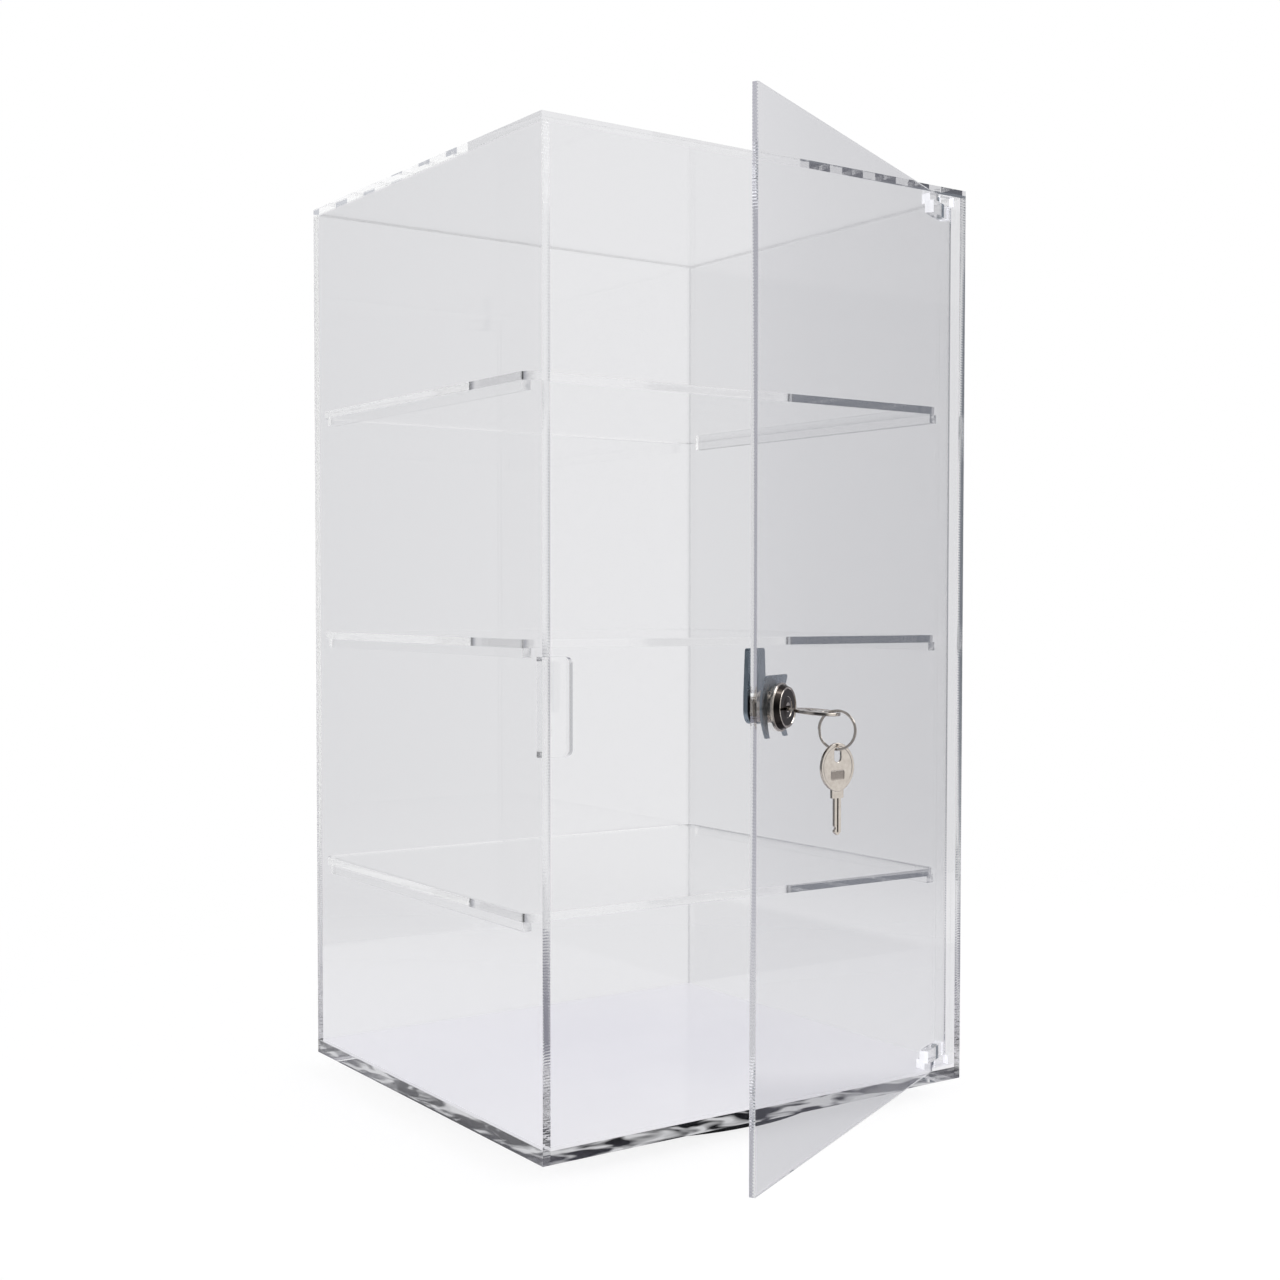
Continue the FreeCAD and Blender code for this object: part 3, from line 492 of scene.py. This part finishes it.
def makeKeys(s):
    bow, bowFaces, bands = keyBow(s)
    shank, shankFaces = keyShank(s)
    bands = np.concatenate([bands, np.zeros(len(shankFaces), int)]).tolist()
    slope = math.radians(s["droop"])
    inwards = -doorNormal * math.cos(slope) + up * math.sin(slope)
    web = np.array(joints["ring_swing"]["pos_m"])
    low, high = (np.array(corner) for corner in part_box("spare_key"))
    hung = np.array([*(low + high)[:2] / 2, high[2]])
    stands = {
        "lock_key": ("lockKey", "key", web - inwards * s["web"] / 2 * mm,
                     (doorAlong, inwards, np.cross(doorAlong, inwards))),
        "spare_key": ("spareKey", "spare_key", hung, ((-1, 0, 0), (0, 0, -1), (0, -1, 0))),
    }
    for node, (name, body, place, axes) in stands.items():
        placed = [(toWorld(bow, place, axes), bowFaces), (toWorld(shank, place, axes), shankFaces)]
        addPiece(name, placed, body, node, [finish["nickel"], finish["dull_nickel"]], bands)


makeKeys(keyBlank)


# key ring: two turns of flat wire, side by side, crossing over where the ring is split

ringWire = {
    "radius": 10.18, "depth": 1.24, "width": 0.67, "pitch": 0.73,  # mm
    "crossing": 36, "splitAt": 250,  # degrees
    "endGap": 0.6,  # of the crossing, between the split and each end
    "squareness": 0.45,  # power of the section's waves, 1 is round
    "steps": 420, "sides": 14,
}


def squared(wave, power):
    return np.sign(wave) * np.abs(wave) ** power


def makeRing(s):
    # a squarish section, from powers of sine and cosine, led twice round a circle; it shifts sideways by one
    # pitch at the crossing
    cross, split = math.radians(s["crossing"]), math.radians(s["splitAt"])
    gap = s["endGap"] * cross
    turn = np.linspace(split + gap, split + 4 * np.pi - gap, s["steps"])
    shift = s["pitch"] * (smoothStep((turn - split - 2 * np.pi) / cross + 0.5) - 0.5)
    around = np.linspace(0, 2 * np.pi, s["sides"], endpoint=False)
    out = s["depth"] / 2 * squared(np.cos(around), s["squareness"])
    across = s["width"] / 2 * squared(np.sin(around), s["squareness"])
    reach = s["radius"] + out[None, :]
    points = np.stack([shift[:, None] + across[None, :], reach * np.sin(turn)[:, None],
                       reach * np.cos(turn)[:, None]], -1)
    low, high = (np.array(corner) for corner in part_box("key_ring"))
    placed = toWorld(points.reshape(-1, 3), (low + high) / 2, (doorAlong, doorNormal, up))
    addPiece("splitRing", [(placed, sweepFaces(s["steps"], s["sides"]))], "ring", "key_ring",
             [finish["nickel"]], sharp=60)


makeRing(ringWire)


# lock housing: a turned bezel, its sunk face and cone painted dark for the dark they mirror, and a threaded
# barrel with two flats

housing = {
    "bore": 5.55, "faceRadius": 10.8, "faceLip": 0.9, "faceRecess": 0.4, "bezelHeight": 5.0,  # mm
    "bezelRadius": 12.2, "rimRadius": 13.0, "rimThickness": 1.5,
    "barrelRadius": 8.5, "barrelLength": 14.0, "barrelFlat": 7.5,
    "pitch": 1.0, "threadDepth": 0.55, "threadStep": 0.125,
    "threadInset": 0.4,  # plain length at both ends of the thread
    "barrelMargin": 0.3,  # threaded points are further than this behind the rim and nearer to the barrel's skin
    "soft": 0.18, "turns": 144,
    "paintedDarkRows": (3, 9),  # sunk face and cone, painted dark
}


def cutCorners(profile, size):  # each corner of a path becomes two points at a distance from it
    path = np.array(profile, float)
    ways = np.stack([np.roll(path, 1, 0) - path, np.roll(path, -1, 0) - path], 1)
    steps = ways / np.linalg.norm(ways, axis=2, keepdims=True) * size
    return (path[:, None] + steps).reshape(-1, 2)


def makeHousing(s):
    # a half profile led round the lock's axis; on the barrel the radius follows a sloping saw tooth, the
    # thread, and ends at the two flats
    front = s["faceRecess"] - s["bezelHeight"]
    lip = s["faceRadius"] - s["faceLip"]
    profile = cutCorners([
        (s["bore"], s["barrelLength"]), (s["bore"], front), (lip, front), (lip, -s["bezelHeight"]),
        (s["faceRadius"], -s["bezelHeight"]), (s["bezelRadius"], -s["rimThickness"]),
        (s["rimRadius"], -s["rimThickness"]), (s["rimRadius"], 0), (s["barrelRadius"], 0),
        (s["barrelRadius"], s["barrelLength"])], s["soft"])
    level = np.arange(s["threadInset"], s["barrelLength"] - s["threadInset"], s["threadStep"])
    barrel = np.stack([np.full_like(level, s["barrelRadius"]), level], -1)
    path = np.vstack([profile[:-2], barrel, profile[-2:]])
    turns = np.linspace(0, 2 * np.pi, s["turns"], endpoint=False)[None, :]
    radius, depth = path[:, :1], path[:, 1:]
    onBarrel = (depth > s["barrelMargin"]) & (radius > s["barrelRadius"] - s["barrelMargin"])
    tooth = np.abs((depth / s["pitch"] + turns / (2 * np.pi)) % 1.0 - 0.5) * 2
    cut = radius - s["threadDepth"] * tooth * onBarrel
    flat = s["barrelFlat"] / np.maximum(np.abs(np.cos(turns)), 1e-6)  # never by zero
    reach = np.where(onBarrel, np.minimum(cut, flat), radius + 0 * turns)
    points = np.stack([reach * np.cos(turns), depth + 0 * turns, reach * np.sin(turns)], -1)
    rows = len(path)
    faces = gridFaces(rows, s["turns"])[:, ::-1]
    # painted shade: the sunk face and cone take the darker nickel
    paintedDark = np.isin(np.arange(rows), s["paintedDarkRows"])
    bands = np.repeat(paintedDark.astype(int), s["turns"]).tolist()
    placed = toWorld(points.reshape(-1, 3), lockPlace, lockAxes)
    addPiece("lockHousing", [(placed, faces)], "door", "lock_housing",
             [finish["nickel"], finish["nickel_painted_dark"]], bands)


makeHousing(housing)


# lock plug: a domed hub with the keyway, its face round the hub painted dark, turned down behind to the boss
# that carries the cam

plug = {
    "radius": 5.5, "face": 5.0, "dome": 0.6, "length": 14.5, "bossRadius": 3.2, "bossLength": 2.5,  # mm
    "slotWidth": 5.0, "slotHeight": 2.3, "slotRise": -0.35, "slotDepth": 3.0, "slotSlope": 0.12,
    "firstRing": 0.02,  # of the radius
    "rings": 60, "turns": 180, "hubRows": 27,  # rows of the face that stay plain nickel; the rows beyond them are painted dark
}


def makePlug(s):
    # rings of a dome that falls with the square of the radius, less a steep-sided slot for the key; then a
    # half profile led round the axis
    ring = np.linspace(s["firstRing"], 1, s["rings"])[:, None]
    turns = np.linspace(0, 2 * np.pi, s["turns"], endpoint=False)[None, :]
    x, z = s["radius"] * ring * np.cos(turns), s["radius"] * ring * np.sin(turns)
    inSlot = (smoothStep((s["slotWidth"] / 2 - np.abs(x)) / s["slotSlope"])
              * smoothStep((s["slotHeight"] / 2 - np.abs(z - s["slotRise"])) / s["slotSlope"]))
    y = -s["face"] + s["dome"] * ring ** 2 + s["slotDepth"] * inSlot
    face = np.stack([x, y, z], -1)
    back = s["length"] + s["bossLength"]
    behind = np.array([(s["radius"], s["length"]), (s["bossRadius"], s["length"]), (s["bossRadius"], back)])
    radius, depth = behind[:, :1], behind[:, 1:]
    side = np.stack([radius * np.cos(turns), depth + 0 * turns, radius * np.sin(turns)], -1)
    placed = toWorld(np.concatenate([face, side]).reshape(-1, 3), lockPlace, lockAxes)
    faces = sweepFaces(s["rings"] + len(behind), s["turns"])
    row = np.arange(len(faces)) // s["turns"]
    # painted shade: the face outside the hub takes the darker nickel
    bands = ((row >= s["hubRows"]) & (row < s["rings"])).astype(int).tolist()
    addPiece("lockPlug", [(placed, faces)], "lock_plug", "lock_plug",
             [finish["nickel"], finish["nickel_painted_dark"]], bands)


makePlug(plug)
print("lock and keys made")


# stage: floor, studio light and white background

stage = {
    "floorReach": 1.2,  # metres, radius of the floor disc
    "floorFade": (0.35, 1.1),  # the floor melts into the background between these radii
    "floorRings": 8, "floorTurns": 96,
    "floorTone": "#FAFAFA",
    "floorGlow": 0.86,  # share of plain light in the floor, which thins the shadow
    "softLight": 0.85,  # light that reaches matt surfaces from all round
    "throughTone": "#E6E6E8",  # background as seen through the sheets
    "paintedMirrorShade": (  # painted shade: the table top's tone in reflections, pale to the left, dark grey in a middle band, light grey to the right, x in metres
        (-0.19, "#F0F0F2"), (-0.165, "#84848E"), (0.16, "#84848E"), (0.22, "#CACACE")),
    "mirrorAfter": 0.5,  # bounces, from here on a ray counts as a reflection
    "studioRound": (  # what reflections show, by heading in degrees from +X towards +Y, with a gain where lit
        (0, "#BABAC2"), (3.9, "#BABAC2"), (4.4, "#A0A0A8"), (9, "#98989F"), (18, "#A6A6AE"), (34, "#E6E6E8"),
        (84, "#E6E6E8"), (100, "#B6B7BB"), (121, "#B6B7BB"), (127, "#666B74"), (142, "#666B74"),
        (152, "#4A4F58"), (163, "#5A5E64"), (178, "#B0B2B6"), (198, "#B0B2B6"), (214, "#303236"),
        (262, "#303236"), (285, "#FFFFFF", 1.12), (328, "#FFFFFF", 1.12), (345, "#A6A6AE")),
    "groundRound": (  # the same below the horizon
        (0, "#C6C6CE"), (3.9, "#C6C6CE"), (4.4, "#B2B2BA"), (18, "#A6A6AE"), (34, "#E8E8EA"), (84, "#E8E8EA"),
        (100, "#D3D3D6"), (170, "#D3D3D6"), (200, "#606266"), (262, "#606266"), (285, "#FFFFFF", 1.12),
        (328, "#FFFFFF", 1.12), (345, "#A6A6AE")),
    "horizon": (-0.1, -0.2),  # rise of a ray, where the studio turns into the ground
    "slats": (  # screens: middle, half width and pitch in degrees, tone, sine above which a slat shows
        (130.5, 4.0, 1.05, "#4A4C56", -0.4), (296.5, 4.5, 0.84, "#D2D4DA", 0.3)),
    "slatsBelow": -0.203,  # rise of a ray
    "slatsAfter": 4.5,  # bounces, so only light that a sheet pipes to its edge shows them
}


def lit(tone, gain=1.0):  # a gain above 1 makes a lamp's panel brighter than white
    return [channel * gain for channel in toLinear(tone)]


def roundStops(tones):  # headings as shares of a turn
    return [(angle / 360, lit(*tone)) for angle, *tone in tones]


def makeWorld(s):
    world = bpy.data.worlds.new("studio")
    scene.world = world
    world.use_nodes = True
    tree = world.node_tree
    tree.nodes.clear()
    path = addNode(tree, "LightPath")
    coords = addNode(tree, "TexCoord")
    ray = addNode(tree, "SeparateXYZ", {0: coords.outputs["Generated"]})
    heading = addNode(tree, "Math", {0: ray.outputs["Y"], 1: ray.outputs["X"]}, operation="ARCTAN2")
    turn = addNode(tree, "Math", {0: heading.outputs[0], 1: 1 / (2 * math.pi)}, operation="MULTIPLY")
    share = addNode(tree, "Math", {0: turn.outputs[0]}, operation="FRACT").outputs[0]
    ground = addNode(tree, "MapRange", {
        "Value": ray.outputs["Z"], "From Min": s["horizon"][0], "From Max": s["horizon"][1]},
        interpolation_type="SMOOTHSTEP")
    above = addNode(tree, "ValToRGB", {0: share}, roundStops(s["studioRound"])).outputs[0]
    below = addNode(tree, "ValToRGB", {0: share}, roundStops(s["groundRound"])).outputs[0]
    bounces = path.outputs["Glossy Depth"]
    steep = addNode(tree, "Math", {0: ray.outputs["Z"], 1: s["slatsBelow"]}, operation="LESS_THAN")
    piped = addNode(tree, "Math", {0: bounces, 1: s["slatsAfter"]}, operation="GREATER_THAN")
    inEdge = addNode(tree, "Math", {0: steep.outputs[0], 1: piped.outputs[0]}, operation="MULTIPLY")
    for middle, half, pitch, tone, limit in s["slats"]:
        steps = addNode(tree, "Math", {0: share, 1: 2 * math.pi * 360 / pitch}, operation="MULTIPLY")
        wave = addNode(tree, "Math", {0: steps.outputs[0]}, operation="SINE")
        slat = addNode(tree, "Math", {0: wave.outputs[0], 1: limit}, operation="GREATER_THAN")
        inside = addNode(tree, "Math", {0: share, 1: middle / 360, 2: half / 360}, operation="COMPARE")
        screen = addNode(tree, "Math", {0: slat.outputs[0], 1: inside.outputs[0]}, operation="MULTIPLY")
        shown = addNode(tree, "Math", {0: screen.outputs[0], 1: inEdge.outputs[0]}, operation="MULTIPLY")
        below = addNode(tree, "MixRGB", {0: shown.outputs[0], 1: below, 2: toLinear(tone)}).outputs[0]
    studio = addNode(tree, "MixRGB", {0: ground.outputs[0], 1: above, 2: below})
    backdrop = addNode(tree, "MixRGB", {
        0: path.outputs["Is Camera Ray"], 1: toLinear(s["throughTone"]), 2: white})
    mirrored = addNode(tree, "Math", {0: bounces, 1: s["mirrorAfter"]}, operation="GREATER_THAN")
    view = addNode(tree, "MixRGB", {0: mirrored.outputs[0], 1: backdrop.outputs[0], 2: studio.outputs[0]})
    either = addNode(tree, "Math", {
        0: path.outputs["Is Glossy Ray"], 1: path.outputs["Is Transmission Ray"]}, operation="MAXIMUM")
    seen = addNode(tree, "Math", {
        0: path.outputs["Is Camera Ray"], 1: either.outputs[0]}, operation="MAXIMUM")
    soft = (s["softLight"],) * 3 + (1.0,)
    colour = addNode(tree, "MixRGB", {0: seen.outputs[0], 1: soft, 2: view.outputs[0]})
    glow = addNode(tree, "Background", {"Color": colour.outputs[0], "Strength": 1.0})
    addNode(tree, "OutputWorld", {"Surface": glow.outputs[0]})


def makeFloor(s):
    # a flat disc: radius times cosine and sine of the turn, on a grid of radius and turn
    reach, rings, count = s["floorReach"], s["floorRings"], s["floorTurns"]
    radii = np.linspace(0.0, reach, rings + 1)[1:]
    turns = np.linspace(0.0, 2 * np.pi, count, endpoint=False)
    r, t = np.meshgrid(radii, turns, indexing="ij")
    points = np.stack([r * np.cos(t), r * np.sin(t), np.zeros_like(r)], -1).reshape(-1, 3)
    faces = gridFaces(rings, count, False).tolist() + [np.arange(count).tolist()]
    mesh = bpy.data.meshes.new("floor")
    mesh.from_pydata(points.tolist(), [], faces)
    floor = bpy.data.objects.new("floor", mesh)
    scene.collection.objects.link(floor)
    material, tree = newMaterial("paleFloor")
    path = addNode(tree, "LightPath")
    coords = addNode(tree, "TexCoord")
    away = addNode(tree, "VectorMath", {0: coords.outputs["Object"]}, operation="LENGTH")
    fade = addNode(tree, "MapRange", {
        "Value": away.outputs["Value"], "From Min": s["floorFade"][0], "From Max": s["floorFade"][1]},
        interpolation_type="SMOOTHSTEP")
    mirrored = addNode(tree, "Math", {
        0: path.outputs["Glossy Depth"], 1: s["mirrorAfter"]}, operation="GREATER_THAN")
    through = addNode(tree, "MixRGB", {
        0: path.outputs["Is Transmission Ray"], 1: toLinear(s["floorTone"]), 2: toLinear(s["throughTone"])})
    # painted shade: reflections see the table top darker in a band across it
    across = addNode(tree, "SeparateXYZ", {0: coords.outputs["Object"]}).outputs["X"]
    side = addNode(tree, "MapRange", {"Value": across, "From Min": -reach, "From Max": reach}).outputs[0]
    sideStops = [((x + reach) / (2 * reach), toLinear(tone)) for x, tone in s["paintedMirrorShade"]]
    table = addNode(tree, "ValToRGB", {0: side}, sideStops).outputs[0]
    tone = addNode(tree, "MixRGB", {0: mirrored.outputs[0], 1: through.outputs[0], 2: table})
    matt = addNode(tree, "BsdfDiffuse", {"Color": tone.outputs[0]})
    plain = addNode(tree, "MixRGB", {0: path.outputs["Is Camera Ray"], 1: tone.outputs[0], 2: white})
    light = addNode(tree, "Emission", {"Color": plain.outputs[0], "Strength": 1.0})
    seen = addNode(tree, "Math", {
        0: path.outputs["Is Camera Ray"], 1: path.outputs["Is Transmission Ray"]}, operation="MAXIMUM")
    thin = addNode(tree, "Math", {0: seen.outputs[0], 1: s["floorGlow"]}, operation="MULTIPLY")
    pale = addNode(tree, "MixShader", {0: thin.outputs[0], 1: matt.outputs[0], 2: light.outputs[0]})
    none = addNode(tree, "BsdfTransparent")
    mix = addNode(tree, "MixShader", {0: fade.outputs[0], 1: pale.outputs[0], 2: none.outputs[0]})
    addNode(tree, "OutputMaterial", {"Surface": mix.outputs[0]})
    setMaterial(floor, material)


softBoxes = {  # places and sizes in metres; mirrored lamps show as reflections
    "keyBox": {"place": (1.4, -1.6, 2.0), "size": (1.4, 1.4), "watts": 28, "mirrored": True},
    "leftBox": {"place": (-2.0, -0.6, 1.6), "size": (1.0, 1.6), "watts": 12, "mirrored": False},
}
lampAim = Vector((0, 0, 0.3))  # the middle of the case


def makeLights(boxes):
    for name, s in boxes.items():
        data = bpy.data.lights.new(name, "AREA")
        data.shape = "RECTANGLE"
        data.size, data.size_y = s["size"]
        data.energy = s["watts"]
        obj = bpy.data.objects.new(name, data)
        scene.collection.objects.link(obj)
        obj.location = s["place"]
        obj.rotation_euler = (lampAim - obj.location).to_track_quat("-Z", "Y").to_euler()
        obj.visible_camera = False
        obj.visible_transmission = False
        obj.visible_glossy = s["mirrored"]


makeWorld(stage)
makeFloor(stage)
makeLights(softBoxes)
print("stage set")

scene.view_settings.view_transform = "Standard"
sheetBounces = 72  # light runs far inside a sheet before it leaves by an edge
for kind in ("max_bounces", "transmission_bounces", "glossy_bounces", "transparent_max_bounces"):
    setattr(scene.cycles, kind, sheetBounces)
